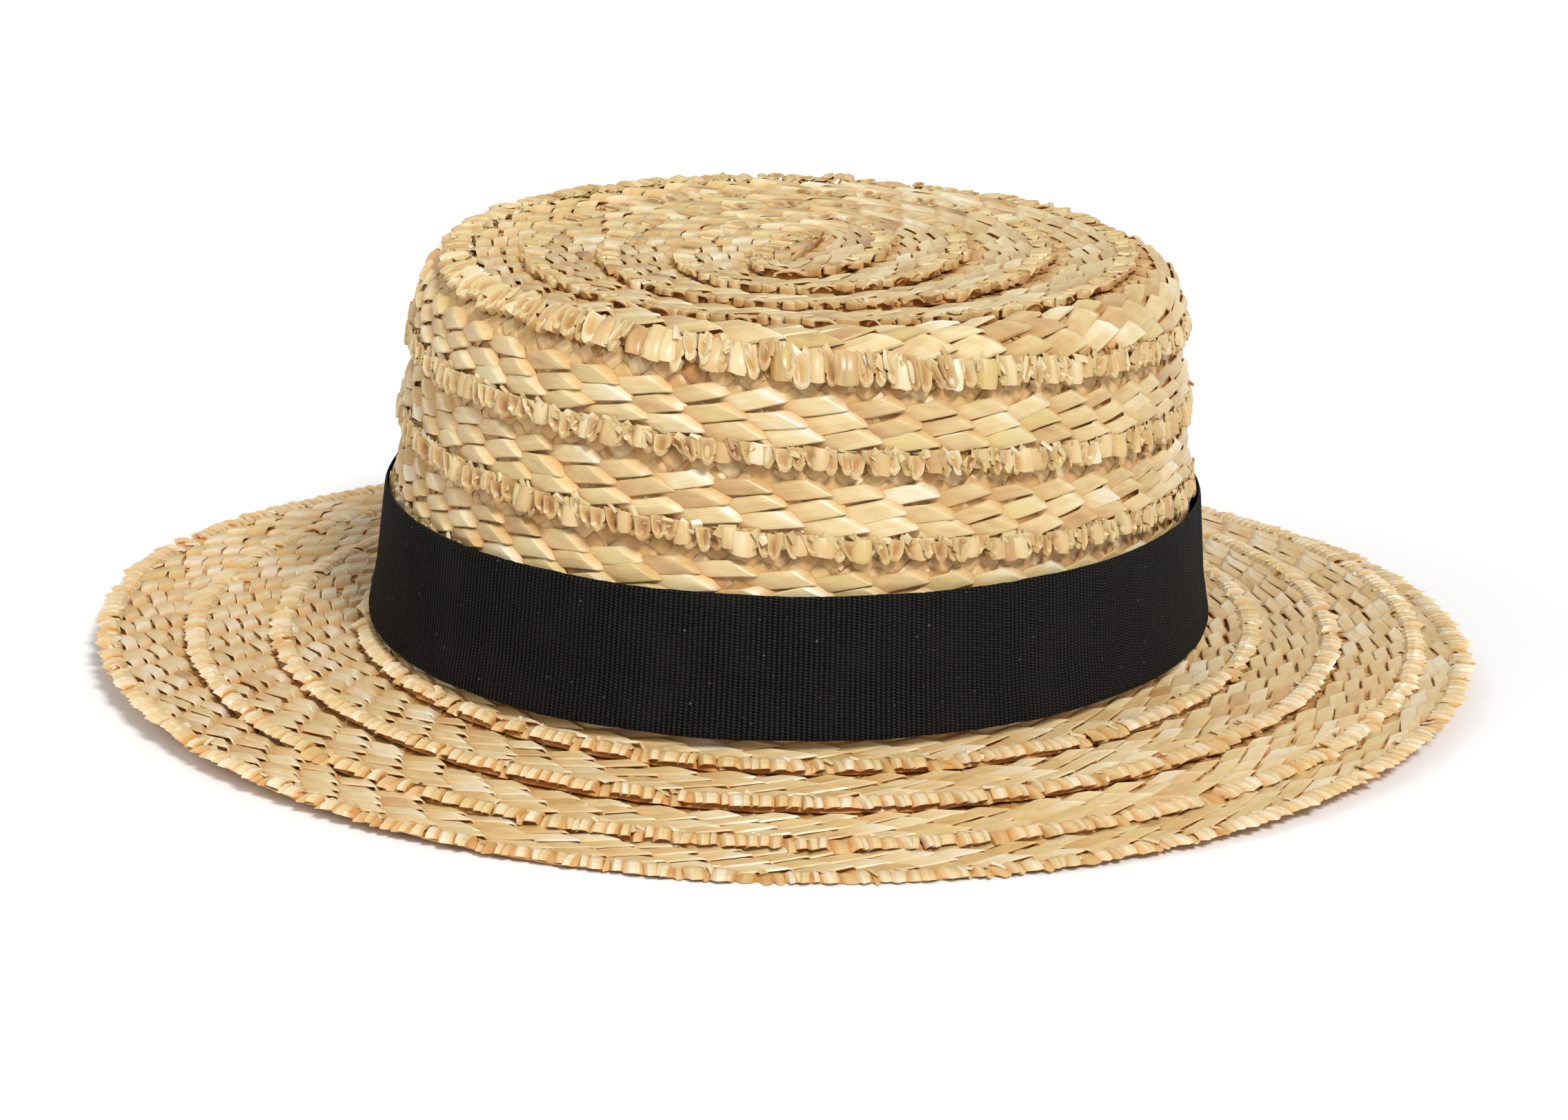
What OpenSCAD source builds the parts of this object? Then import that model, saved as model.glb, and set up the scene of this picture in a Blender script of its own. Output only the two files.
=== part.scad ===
// Straw boater: one long straw plait sewn in a spiral from the tip of the crown to the rim of the
// brim, each turn lapped over the next, with a ribbed ribbon round the crown and one inside it.
// Millimetres. The rim rests on z = 0, +Z is up and the front of the hat faces -Y.

/* [Crown] */
// Half of the crown's width at the brim, inside the plait
crown_half_width = 82.5; // [80:0.5:86]
// Half of the crown's length at the brim, inside the plait
crown_half_length = 99.5; // [95:0.5:104]
// Height of the crown above the brim
crown_height = 77.5; // [74:0.5:82]
// How far each side leans in from the brim to the top
crown_taper = 7.2; // [5:0.2:9]
// Radius of the shoulder between the side and the tip
shoulder_radius = 6; // [5:0.5:8]

/* [Brim] */
// Width of the brim
brim_width = 62; // [58:0.5:66]
// Radius where the crown turns out into the brim
base_radius = 6; // [5:0.5:7]
// How much narrower the brim is at the back, where the plait ends
back_dip = 5.7; // [4:0.1:7]

/* [Plait] */
// Thickness of the straw plait
plait_thickness = 1.5; // [1:0.1:1.5]
// Width of plait that lies under the turn before it
lap_width = 6; // [5:0.5:7]
// Thickness of the sewing thread
thread_width = 0.6; // [0.4:0.1:0.8]

/* [Hatband] */
// Height of the ribbon round the crown
hatband_height = 27.6; // [20:0.2:32]
// Height of the ribbon's lower edge above the rim
hatband_bottom = 9; // [8.6:0.1:11]
// Thickness of the ribbon round the crown and the one inside it
ribbon_thickness = 0.8; // [0.6:0.1:1]
// Width of the folded end of a ribbon at the back
ribbon_lap_width = 18; // [12:1:24]

/* [Sweatband] */
// Height of the ribbon inside the crown
sweatband_height = 27; // [20:0.5:30]
// Height of its lower edge above the rim
sweatband_bottom = 5.5; // [5:0.1:7]
// Width of the blank size label
label_width = 14; // [10:1:18]
// Height of the blank size label
label_height = 10; // [8:1:12]

/* [Hidden] */

straw = [0.87, 0.75, 0.53];
straw_shade = [0.80, 0.66, 0.43];
ribbon_black = [0.07, 0.07, 0.08];
thread_cream = [0.93, 0.87, 0.70];
label_white = [0.93, 0.92, 0.88];

steps_per_turn = 48;
bend_steps = 4;
back_angle = 90;

// Each turn rises across its width, so its outer edge lies on the inner edge of the next turn.
lap_rise = 1.65;
lap_run = 16;
lap_slope = lap_rise / lap_run;

// Outline from the centre of the tip out to the rim: tip, shoulder, side, base and brim. A heading
// is in degrees below level. The brim falls as much as its turns rise, so the last one lies flat.
side_lean = atan(crown_taper / crown_height);
side_heading = 90 - side_lean;
brim_heading = atan(lap_slope);
base_bend = side_heading - brim_heading;
shoulder_tangent = shoulder_radius * tan(side_heading / 2);
base_tangent = base_radius * tan(base_bend / 2);
shoulder_start = crown_half_width - crown_taper - shoulder_tangent;
side_start = shoulder_start + shoulder_radius * side_heading * PI / 180;
base_start = side_start + crown_height / cos(side_lean) - shoulder_tangent - base_tangent;
brim_start = base_start + base_radius * base_bend * PI / 180;
rim = brim_start + brim_width / cos(brim_heading) - base_tangent;

// Turns of the spiral are counted from the centre of the tip. It reaches the rim at the front of
// the last turn, and each turn starts at the back.
centre_turns = 0.708;
rim_turns = 13.5;
first_brim_turn = 10;
last_turn = 13;
// The rows on the crown don't descend evenly: they sway up on the left and down on the right.
row_sway = 2.6;
sway_turns = 0.56;
sway_rise = [3, 5];
sway_fall = [9, 11];
pitch = rim / (rim_turns - centre_turns);
plait_width = pitch + lap_width;
brim_spread = (rim - back_dip - pitch * (last_turn - centre_turns))
    / pow(last_turn - first_brim_turn, 2);
// The brim is shorter behind, so the oval's centre lies a little behind the middle of the hat.
oval_centre_y = back_dip / 2;
tail_least_thickness = 0.3;
least_radius = 0.5;
// Part of a turn left open between two lengths of the plait, so that they stay separate solids
joint_gap = 0.0005;
// Lengths that each turn round the head is made of, so that each one is nearly straight
head_arcs = 16;

base_z = brim_width * tan(brim_heading) - plait_width * sin(brim_heading);
tip_z = base_z + crown_height;
plait_top = lap_slope * plait_width + plait_thickness;

thread_clearance = 0.05;
hatband_clearance = 0.9;
hatband_flare = 0.9;
sweatband_clearance = 0.5;
lap_clearance = 0.4;
lap_steps = 6;
tack_length = 5;
tack_inset = 2;
stitch_count = 40;
stitch_length = 4;
stitch_height = 2;
label_thickness = 0.4;

// A place on the outline at a distance from the centre of the tip: [out, z, heading], where out
// is measured from the crown's side at the brim.
function on_outline(s) =
    s < shoulder_start ? [s - crown_half_width, tip_z, 0]
    : s < side_start ? on_shoulder((s - shoulder_start) / shoulder_radius * 180 / PI)
    : s < base_start ? on_side(s - side_start + shoulder_tangent)
    : s < brim_start ? on_base(side_heading - (s - base_start) / base_radius * 180 / PI)
    : on_brim(s - brim_start + base_tangent);

function on_shoulder(heading) =
    [shoulder_start - crown_half_width + shoulder_radius * sin(heading),
     tip_z - shoulder_radius * (1 - cos(heading)), heading];

function on_side(run) =
    [run * sin(side_lean) - crown_taper, tip_z - run * cos(side_lean), side_heading];

function on_base(heading) =
    let (start = on_side(base_start - side_start + shoulder_tangent))
    [start[0] + base_radius * (sin(side_heading) - sin(heading)),
     start[1] + base_radius * (cos(side_heading) - cos(heading)), heading];

function on_brim(run) =
    [run * cos(brim_heading), base_z - run * sin(brim_heading), brim_heading];

// A point on the oval hat at an angle, so far out from the crown's side and so high
function on_oval(out, z, angle) =
    [(crown_half_width + out) * cos(angle),
     oval_centre_y + (crown_half_length + out) * sin(angle), z];

// A point at a distance along the outline and a height above it
function on_hat(s, height, angle) =
    let (place = on_outline(s))
    on_oval(place[0] + height * sin(place[2]), place[1] + height * cos(place[2]), angle);

function spiral_angle(turns) = back_angle + 360 * (turns - floor(turns));

// Distance along the outline of the plait's outer edge, after so many turns
function edge(turns) =
    turns < last_turn
        ? pitch * (turns - centre_turns) + brim_spread * pow(max(turns - first_brim_turn, 0), 2)
            + row_shift(turns)
        : rim - rim_dip(turns);

function share_between(value, ends) = min(max((value - ends[0]) / (ends[1] - ends[0]), 0), 1);

function row_shift(turns) = row_sway * sin(360 * (turns - sway_turns))
    * share_between(turns, sway_rise) * (1 - share_between(turns, sway_fall));

function rim_dip(turns) = back_dip * max(cos(360 * (turns - last_turn)), 0);

// The plait's end tucks under the turn before it, so it thins as that turn closes over it.
function tail_tuck(turns) =
    turns < last_turn ? 0 : max(lap_rise - lap_slope * (edge(turns) - edge(turns - 1)), 0);

function tail_drop(turns) = turns < last_turn + 0.5 ? 0 : lap_slope * rim_dip(turns);

// One cross-section of the plait: its underside from the inner edge out, then its top back in
function plait_section(turns, angle, steps) =
    let (inner = edge(turns) - plait_width, start = max(inner, least_radius),
         across = [for (i = [0:steps]) start + (edge(turns) - start) * i / steps],
         top = max(plait_thickness - tail_tuck(turns), tail_least_thickness - tail_drop(turns)))
    [for (s = across) on_hat(s, lap_slope * (s - inner) - tail_drop(turns), angle),
     for (i = [steps:-1:0]) on_hat(across[i], lap_slope * (across[i] - inner) + top, angle)];

function thread_section(turns, angle) =
    let (s = edge(turns) - lap_width / 2,
         low = lap_slope * (plait_width - lap_width / 2) + plait_thickness + thread_clearance)
    [on_hat(s - thread_width / 2, low, angle),
     on_hat(s + thread_width / 2, low + lap_slope * thread_width, angle),
     on_hat(s, low + thread_width, angle)];

// A solid through a list of cross-sections, either closed into a ring or with two flat ends
module loft(sections, closed = false) {
    count = len(sections);
    size = len(sections[0]);
    sides = [for (i = [0:count - (closed ? 1 : 2)], j = [0:size - 1])
        let (here = i * size, next = (i + 1) % count * size, k = (j + 1) % size)
        [here + j, here + k, next + k, next + j]];
    ends = closed ? [] : [[for (j = [size - 1:-1:0]) j],
        [for (j = [0:size - 1]) (count - 1) * size + j]];
    polyhedron(points = [for (section = sections) each section], faces = concat(sides, ends),
        convexity = 10);
}

function meets(low, high, start, end) = low < end && high > start;

// One turn of the plait in so many lengths, with more points across it where the outline bends
module plait_turn(turn, arcs = 1) {
    low = edge(turn) - plait_width - row_sway;
    high = edge(turn) + pitch + row_sway;
    bends = meets(low, high, shoulder_start, side_start) || meets(low, high, base_start, brim_start);
    steps = bends ? bend_steps : 1;
    arc_steps = steps_per_turn / arcs;
    for (arc = [0:arcs - 1])
        loft([for (i = [0:arc_steps])
            let (part = (arc + i / arc_steps) / arcs - (i == arc_steps ? joint_gap : 0))
            plait_section(turn + part, back_angle + 360 * part, steps)]);
}

module seam_thread(first_turn, end_turn) {
    steps = (end_turn - first_turn) * steps_per_turn;
    color(thread_cream)
        loft([for (i = [0:steps - 1])
            let (turns = first_turn + i / steps_per_turn)
            thread_section(turns, spiral_angle(turns))]);
}

// A ribbon standing on the crown's side, from its outline [out, z] points
module ribbon(outline, start, end, steps) {
    closed = end - start == 360;
    loft([for (i = [0:steps - (closed ? 1 : 0)])
        [for (p = outline) on_oval(p[0], p[1], start + (end - start) * i / steps)]], closed);
}

// How far out the crown's side is at a height
function side_out(z) = (base_z - z) * tan(side_lean);

function ribbon_outline(bottom, height, gap, thickness, flare = 0) =
    let (top = bottom + height, waist = bottom + height / 3)
    [[side_out(bottom) + gap + flare, bottom], [side_out(bottom) + gap + flare + thickness, bottom],
     [side_out(waist) + gap + thickness, waist], [side_out(top) + gap + thickness, top],
     [side_out(top) + gap, top], [side_out(waist) + gap, waist]];

hatband_gap = plait_top + hatband_clearance;
sweatband_gap = -sweatband_clearance - ribbon_thickness;
half_lap_angle = ribbon_lap_width / 2 / crown_half_width * 180 / PI;

module tip_button() color(straw) plait_turn(1);
module tip_turn_1() color(straw_shade) plait_turn(2);
module tip_turn_2() color(straw) plait_turn(3);
module tip_turn_3() color(straw_shade) plait_turn(4);
module crown_turn_1() color(straw) plait_turn(5, head_arcs);
module crown_turn_2() color(straw_shade) plait_turn(6, head_arcs);
module crown_turn_3() color(straw) plait_turn(7, head_arcs);
module crown_turn_4() color(straw_shade) plait_turn(8, head_arcs);
module crown_turn_5() color(straw) plait_turn(9, head_arcs);
module brim_turn_1() color(straw_shade) plait_turn(10, head_arcs);
module brim_turn_2() color(straw) plait_turn(11);
module brim_turn_3() color(straw_shade) plait_turn(12);
module brim_turn_4() color(straw) plait_turn(13);

module tip_seam_thread() seam_thread(2, 5);
module crown_seam_thread() seam_thread(5, 10);
module brim_seam_thread() seam_thread(10, 13);

module hatband() {
    outline = ribbon_outline(hatband_bottom, hatband_height, hatband_gap, ribbon_thickness,
        hatband_flare);
    color(ribbon_black) ribbon(outline, 0, 360, steps_per_turn);
}

module hatband_lap() {
    outline = ribbon_outline(hatband_bottom, hatband_height,
        hatband_gap + ribbon_thickness + lap_clearance, ribbon_thickness, hatband_flare);
    color(ribbon_black)
        ribbon(outline, back_angle - half_lap_angle, back_angle + half_lap_angle, lap_steps);
}

// Stitches along the upper and lower edges of the folded end
module hatband_tacks() {
    out = hatband_gap + 2 * ribbon_thickness + 2 * lap_clearance + thread_width;
    top = hatband_bottom + hatband_height - tack_inset;
    middle = hatband_bottom + hatband_height / 2;
    color(ribbon_black)
        for (z = [middle, top], side = [-1, 1])
            stitch(out + side_out(z), z, back_angle + side * half_lap_angle / 2, tack_length);
}

module sweatband() {
    outline = ribbon_outline(sweatband_bottom, sweatband_height, sweatband_gap, ribbon_thickness);
    color(ribbon_black) ribbon(outline, 0, 360, steps_per_turn);
}

module sweatband_lap() {
    outline = ribbon_outline(sweatband_bottom, sweatband_height,
        sweatband_gap - ribbon_thickness - lap_clearance, ribbon_thickness);
    color(ribbon_black)
        ribbon(outline, back_angle - half_lap_angle, back_angle + half_lap_angle, lap_steps);
}

// A straight stitch lying level on the crown's oval
module stitch(out, z, angle, length) {
    translate(on_oval(out, z, angle))
        rotate([90, 0, atan2((crown_half_length + out) * cos(angle),
            -(crown_half_width + out) * sin(angle)) + 90])
            cylinder(h = length, d = thread_width, center = true, $fn = 16);
}

module sweatband_stitches() {
    z = sweatband_bottom + stitch_height;
    out = side_out(z) + sweatband_gap - thread_width;
    clear = half_lap_angle + 360 / stitch_count / 2;
    color(thread_cream)
        for (i = [0:stitch_count - 1])
            let (angle = back_angle + (i + 0.5) * 360 / stitch_count)
            if (abs(angle - back_angle - 180) < 180 - clear)
                stitch(out, z, angle, stitch_length);
}

// Blank flat tape sewn to the join of the sweatband, clear of its curve
module size_label() {
    z = sweatband_bottom + stitch_height;
    lap_inside = side_out(z) + sweatband_gap - ribbon_thickness - lap_clearance;
    curve = pow(label_width / 2, 2) * crown_half_length / pow(crown_half_width, 2) / 2;
    color(label_white)
        translate([0, oval_centre_y + crown_half_length + lap_inside - curve, z])
            rotate([side_lean, 0, 0])
                translate([-label_width / 2, -label_thickness - lap_clearance, 0])
                    cube([label_width, label_thickness, label_height]);
}

tip_button();
tip_turn_1();
tip_turn_2();
tip_turn_3();
crown_turn_1();
crown_turn_2();
crown_turn_3();
crown_turn_4();
crown_turn_5();
brim_turn_1();
brim_turn_2();
brim_turn_3();
brim_turn_4();
tip_seam_thread();
crown_seam_thread();
brim_seam_thread();
hatband();
hatband_lap();
hatband_tacks();
sweatband();
sweatband_lap();
sweatband_stitches();
size_label();
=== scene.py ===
import math

import bpy
import numpy as np
from mathutils import Matrix, Vector


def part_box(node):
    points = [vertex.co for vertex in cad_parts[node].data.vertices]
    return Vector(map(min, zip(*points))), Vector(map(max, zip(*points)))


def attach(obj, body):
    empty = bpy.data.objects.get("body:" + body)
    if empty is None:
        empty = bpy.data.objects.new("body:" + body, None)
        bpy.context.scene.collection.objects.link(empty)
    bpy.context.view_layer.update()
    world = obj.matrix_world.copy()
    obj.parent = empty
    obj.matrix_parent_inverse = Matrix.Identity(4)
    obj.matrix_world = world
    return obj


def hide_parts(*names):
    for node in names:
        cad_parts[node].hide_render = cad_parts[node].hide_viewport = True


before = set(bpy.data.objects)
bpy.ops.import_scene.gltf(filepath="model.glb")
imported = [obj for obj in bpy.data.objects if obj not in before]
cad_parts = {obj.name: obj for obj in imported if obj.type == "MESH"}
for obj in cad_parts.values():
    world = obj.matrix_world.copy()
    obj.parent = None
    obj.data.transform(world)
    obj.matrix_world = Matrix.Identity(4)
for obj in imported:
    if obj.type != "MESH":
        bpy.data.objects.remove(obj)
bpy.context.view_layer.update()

MM = 0.001

# The hat's outline, in millimetres and radians, as the CAD model draws it: tip, shoulder, side,
# base and brim. Headings are below level.
CROWN_HALF_WIDTH = 82.5
CROWN_HALF_LENGTH = 99.5
CROWN_HEIGHT = 77.5
CROWN_TAPER = 7.2
SHOULDER_RADIUS = 6.0
BRIM_WIDTH = 62.0
BASE_RADIUS = 6.0
BACK_DIP = 5.7
PLAIT_THICKNESS = 1.5
LAP_WIDTH = 6.0
LAP_SLOPE = 1.65 / 16
CENTRE_TURNS = 0.708
RIM_TURNS = 13.5
FIRST_CROWN_TURN = 5
FIRST_BRIM_TURN = 10
LAST_TURN = 13
ROW_SWAY = 2.6
SWAY_TURNS = 0.56
SWAY_RISE = (3, 5)
SWAY_FALL = (9, 11)
BACK_ANGLE = math.pi / 2

SIDE_LEAN = math.atan(CROWN_TAPER / CROWN_HEIGHT)
SIDE_HEADING = math.pi / 2 - SIDE_LEAN
BRIM_HEADING = math.atan(LAP_SLOPE)
BASE_BEND = SIDE_HEADING - BRIM_HEADING
SHOULDER_TANGENT = SHOULDER_RADIUS * math.tan(SIDE_HEADING / 2)
BASE_TANGENT = BASE_RADIUS * math.tan(BASE_BEND / 2)
SHOULDER_START = CROWN_HALF_WIDTH - CROWN_TAPER - SHOULDER_TANGENT
SIDE_START = SHOULDER_START + SHOULDER_RADIUS * SIDE_HEADING
BASE_START = SIDE_START + CROWN_HEIGHT / math.cos(SIDE_LEAN) - SHOULDER_TANGENT - BASE_TANGENT
BRIM_START = BASE_START + BASE_RADIUS * BASE_BEND
RIM = BRIM_START + BRIM_WIDTH / math.cos(BRIM_HEADING) - BASE_TANGENT
PITCH = RIM / (RIM_TURNS - CENTRE_TURNS)
PLAIT_WIDTH = PITCH + LAP_WIDTH
BRIM_SPREAD = (RIM - BACK_DIP - PITCH * (LAST_TURN - CENTRE_TURNS)) / (
    LAST_TURN - FIRST_BRIM_TURN) ** 2
OVAL_CENTRE_Y = BACK_DIP / 2
BASE_Z = BRIM_WIDTH * math.tan(BRIM_HEADING) - PLAIT_WIDTH * math.sin(BRIM_HEADING)
TIP_Z = BASE_Z + CROWN_HEIGHT
PLAIT_TOP = LAP_SLOPE * PLAIT_WIDTH + PLAIT_THICKNESS
LEAST_RADIUS = 0.05

# The rim doesn't lie quite flat: it rises twice round the hat.
WAVE_HEIGHT = 2.7
WAVE_ANGLE = 0.247

TURN_NODES = ["tip_button", "tip_turn_1", "tip_turn_2", "tip_turn_3", "crown_turn_1",
              "crown_turn_2", "crown_turn_3", "crown_turn_4", "crown_turn_5", "brim_turn_1",
              "brim_turn_2", "brim_turn_3", "brim_turn_4"]

# One repeat of the braid is this long.
REPEAT = 11.0

# The ribbon round the crown. It stands clear of the plait, and flares out at its foot.
HATBAND_BOTTOM = 9.0
HATBAND_HEIGHT = 27.6
HATBAND_GAP = PLAIT_TOP + 0.9
HATBAND_FLARE = 0.9
PRESS_CLEARANCE = 0.12


def on_outline(s):
    """How far out, how high and at what heading the outline is, at distances s from the tip"""
    shoulder = np.clip((s - SHOULDER_START) / SHOULDER_RADIUS, 0, SIDE_HEADING)
    run = s - SIDE_START + SHOULDER_TANGENT
    base_run = BASE_START - SIDE_START + SHOULDER_TANGENT
    base = SIDE_HEADING - np.clip((s - BASE_START) / BASE_RADIUS, 0, BASE_BEND)
    brim_run = s - BRIM_START + BASE_TANGENT
    parts = [s < SHOULDER_START, s < SIDE_START, s < BASE_START, s < BRIM_START]
    out = np.select(parts, [
        s - CROWN_HALF_WIDTH,
        SHOULDER_START - CROWN_HALF_WIDTH + SHOULDER_RADIUS * np.sin(shoulder),
        run * math.sin(SIDE_LEAN) - CROWN_TAPER,
        base_run * math.sin(SIDE_LEAN) - CROWN_TAPER
        + BASE_RADIUS * (math.sin(SIDE_HEADING) - np.sin(base)),
    ], brim_run * math.cos(BRIM_HEADING))
    z = np.select(parts, [
        np.full_like(s, TIP_Z),
        TIP_Z - SHOULDER_RADIUS * (1 - np.cos(shoulder)),
        TIP_Z - run * math.cos(SIDE_LEAN),
        TIP_Z - base_run * math.cos(SIDE_LEAN)
        + BASE_RADIUS * (math.cos(SIDE_HEADING) - np.cos(base)),
    ], BASE_Z - brim_run * math.sin(BRIM_HEADING))
    heading = np.select(parts, [
        np.zeros_like(s), shoulder, np.full_like(s, SIDE_HEADING), base,
    ], BRIM_HEADING)
    return out, z, heading


def brim_wave(out, angle):
    """How far the waved brim is lifted"""
    share = np.clip(out / BRIM_WIDTH, 0, None) ** 1.5
    return WAVE_HEIGHT * (1 + np.cos(2 * (angle - WAVE_ANGLE))) * share


def on_hat(s, height, angle):
    """Points at distances along the outline and heights above it, in millimetres"""
    out, z, heading = on_outline(s)
    out = out + height * np.sin(heading)
    z = z + height * np.cos(heading) + brim_wave(out, angle)
    return np.stack([(CROWN_HALF_WIDTH + out) * np.cos(angle),
                     OVAL_CENTRE_Y + (CROWN_HALF_LENGTH + out) * np.sin(angle), z], axis=-1)


def rim_dip(turns):
    return BACK_DIP * np.maximum(np.cos(2 * math.pi * (turns - LAST_TURN)), 0)


def edge(turns):
    """Distance along the outline of the plait's outer edge, after so many turns"""
    spread = BRIM_SPREAD * np.maximum(turns - FIRST_BRIM_TURN, 0) ** 2
    inner = PITCH * (turns - CENTRE_TURNS) + spread + row_shift(turns)
    return np.where(turns < LAST_TURN, inner, RIM - rim_dip(turns))


def row_shift(turns):
    """How far the rows on the crown sway down on the right, and up on the left"""
    grows = np.clip((turns - SWAY_RISE[0]) / (SWAY_RISE[1] - SWAY_RISE[0]), 0, 1)
    fades = np.clip((turns - SWAY_FALL[0]) / (SWAY_FALL[1] - SWAY_FALL[0]), 0, 1)
    return ROW_SWAY * np.sin(2 * math.pi * (turns - SWAY_TURNS)) * grows * (1 - fades)


def spiral_angle(turns):
    return BACK_ANGLE + 2 * math.pi * turns


def tail_tuck(turns):
    """How much of its thickness the plait's end loses as it tucks under the turn before it"""
    closing = np.maximum(LAP_SLOPE * PITCH - LAP_SLOPE * (edge(turns) - edge(turns - 1)), 0)
    return np.where(turns < LAST_TURN, 0, closing)


def make_length_table():
    """Turns of the spiral against length along the plait, from the start of the tip button"""
    turns = np.linspace(1, LAST_TURN + 1, 12001)
    middle = on_hat(np.maximum(edge(turns) - PLAIT_WIDTH / 3, 2), 0 * turns, spiral_angle(turns))
    steps = np.linalg.norm(np.diff(middle, axis=0), axis=1)
    return turns, np.concatenate([[0], np.cumsum(steps)])


TABLE_TURNS, TABLE_LENGTHS = make_length_table()


def turns_at(x):
    return np.interp(x, TABLE_LENGTHS, TABLE_TURNS)


def lay_on_hat(points):
    """Plait coordinates (along, across from the inner edge, height) to metres on the hat"""
    x, v, h = points[..., 0], points[..., 1], points[..., 2]
    turns = turns_at(x)
    s = np.maximum(edge(turns) - PLAIT_WIDTH + v, LEAST_RADIUS)
    tuck = tail_tuck(turns)
    h = np.where(h > 0, h * (1 - 0.8 * np.clip(tuck / PLAIT_THICKNESS, 0, 1)), h)
    return on_hat(s, pressed(s, h + LAP_SLOPE * v), spiral_angle(turns)) * MM


def pressed(s, height):
    """Heights above the outline, with what stands up under the hatband pressed flat"""
    z = on_outline(s)[1]
    flare = HATBAND_FLARE * np.clip(1 - (z - HATBAND_BOTTOM) / (HATBAND_HEIGHT / 3), 0, 1)
    covered = (z > HATBAND_BOTTOM - 1) & (z < HATBAND_BOTTOM + HATBAND_HEIGHT)
    room = HATBAND_GAP + flare - PRESS_CLEARANCE
    return np.where(covered, np.minimum(height, room), height)


class StrawMesh:
    """Collects straws, each a thin closed slab bent over a grid of points. shade makes all of
    them paler, and glow adds to the orange glow painted into their shade."""

    def __init__(self, shade, glow):
        self.shade, self.glow = shade, glow
        self.verts, self.faces, self.coords, self.looks, self.soft = [], [], [], [], []
        self.count = 0

    def add(self, grid, thickness, tone, shade_glow, fibre, rng, soft=False):
        """grid is (straws, along, across, 3) in plait coordinates. tone colours each straw, or each
        point, and after it comes the painted shade, an orange glow for each straw or point. fibre
        is the distances along and across, in millimetres. soft straws crease only at their sharpest
        bends."""
        n, nu, nv = grid.shape[:3]
        normal = np.cross(np.gradient(grid, axis=1), np.gradient(grid, axis=2))
        normal /= np.maximum(np.linalg.norm(normal, axis=-1, keepdims=True), 1e-6)
        self.verts.append(np.stack([grid, grid - normal * thickness], axis=1).reshape(-1, 3))
        shift = rng.uniform(0, 900, (n, 1, 1, 1, 2))
        uv = np.stack(np.meshgrid(*fibre, indexing="ij"), axis=-1)[None, None] + shift
        self.coords.append(np.broadcast_to(uv, (n, 2, nu, nv, 2)).reshape(-1, 2))
        look = np.ones((n, 2, nu, nv, 4))
        look[..., 0] = np.broadcast_to(tone + self.shade, (n, nu, nv))[:, None]
        look[..., 1] = np.broadcast_to(shade_glow + self.glow, (n, nu, nv))[:, None]
        look[..., 2] = rng.uniform(0, 1, (n, 1, 1, 1))
        self.looks.append(look.reshape(-1, 4))
        self.soft.append(np.full(n * 2 * nu * nv, soft))
        starts = self.count + np.arange(n) * 2 * nu * nv
        self.faces.append((slab_faces(nu, nv)[None] + starts[:, None, None]).reshape(-1, 4))
        self.count += n * 2 * nu * nv

    def build(self, name):
        points = lay_on_hat(np.concatenate(self.verts))
        mesh = mesh_from(name, points, np.concatenate(self.faces))
        add_uv(mesh, np.concatenate(self.coords) * MM)
        add_look(mesh, np.concatenate(self.looks))
        mark_creases(mesh, np.concatenate(self.soft))
        return mesh


def slab_faces(nu, nv):
    """Quads of a closed slab: its top, its underside and its four sides. They run clockwise,
    because the plait's coordinates are left-handed on the hat."""
    index = np.arange(nu * nv).reshape(nu, nv)
    top = np.stack([index[:-1, :-1], index[1:, :-1], index[1:, 1:], index[:-1, 1:]], -1)
    top = top.reshape(-1, 4)
    ring = np.concatenate([index[:-1, 0], index[-1, :-1], index[:0:-1, -1], index[0, :0:-1]])
    after = np.roll(ring, -1)
    sides = np.stack([ring, ring + nu * nv, after + nu * nv, after], -1)
    return np.concatenate([top, top[:, ::-1] + nu * nv, sides])[:, ::-1]


def mesh_from(name, points, quads):
    mesh = bpy.data.meshes.new(name)
    mesh.vertices.add(len(points))
    mesh.vertices.foreach_set("co", points.astype(np.float32).ravel())
    mesh.loops.add(quads.size)
    mesh.loops.foreach_set("vertex_index", quads.astype(np.int32).ravel())
    mesh.polygons.add(len(quads))
    mesh.polygons.foreach_set("loop_start", np.arange(0, quads.size, 4, dtype=np.int32))
    mesh.update(calc_edges=True)
    mesh.validate()
    return mesh


def add_uv(mesh, coords):
    layer = mesh.uv_layers.new(name="fibre")
    loops = np.empty(len(mesh.loops), np.int32)
    mesh.loops.foreach_get("vertex_index", loops)
    layer.data.foreach_set("uv", coords[loops].astype(np.float32).ravel())


def add_look(mesh, looks):
    layer = mesh.color_attributes.new("look", "FLOAT_COLOR", "POINT")
    layer.data.foreach_set("color", looks.astype(np.float32).ravel())


STRAW_CREASE = math.radians(19)
SOFT_CREASE = math.radians(50)
CLOTH_CREASE = math.radians(64)


def mark_creases(mesh, soft):
    """Shade the mesh smooth, but for its creases. Those of soft points are the sharpest bends."""
    mesh.polygons.foreach_set("use_smooth", np.ones(len(mesh.polygons), bool))
    ends = np.empty(len(mesh.edges) * 2, np.int32)
    mesh.edges.foreach_get("vertices", ends)
    creases = []
    for angle in (SOFT_CREASE, STRAW_CREASE):
        mesh.set_sharp_from_angle(angle=angle)
        sharp = np.empty(len(mesh.edges), bool)
        mesh.attributes["sharp_edge"].data.foreach_get("value", sharp)
        creases.append(sharp)
    chosen = np.where(soft[ends[::2]], *creases)
    mesh.attributes["sharp_edge"].data.foreach_set("value", chosen)


def shade_smooth(mesh):
    mesh.polygons.foreach_set("use_smooth", np.ones(len(mesh.polygons), bool))
    mesh.set_sharp_from_angle(angle=CLOTH_CREASE)


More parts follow.
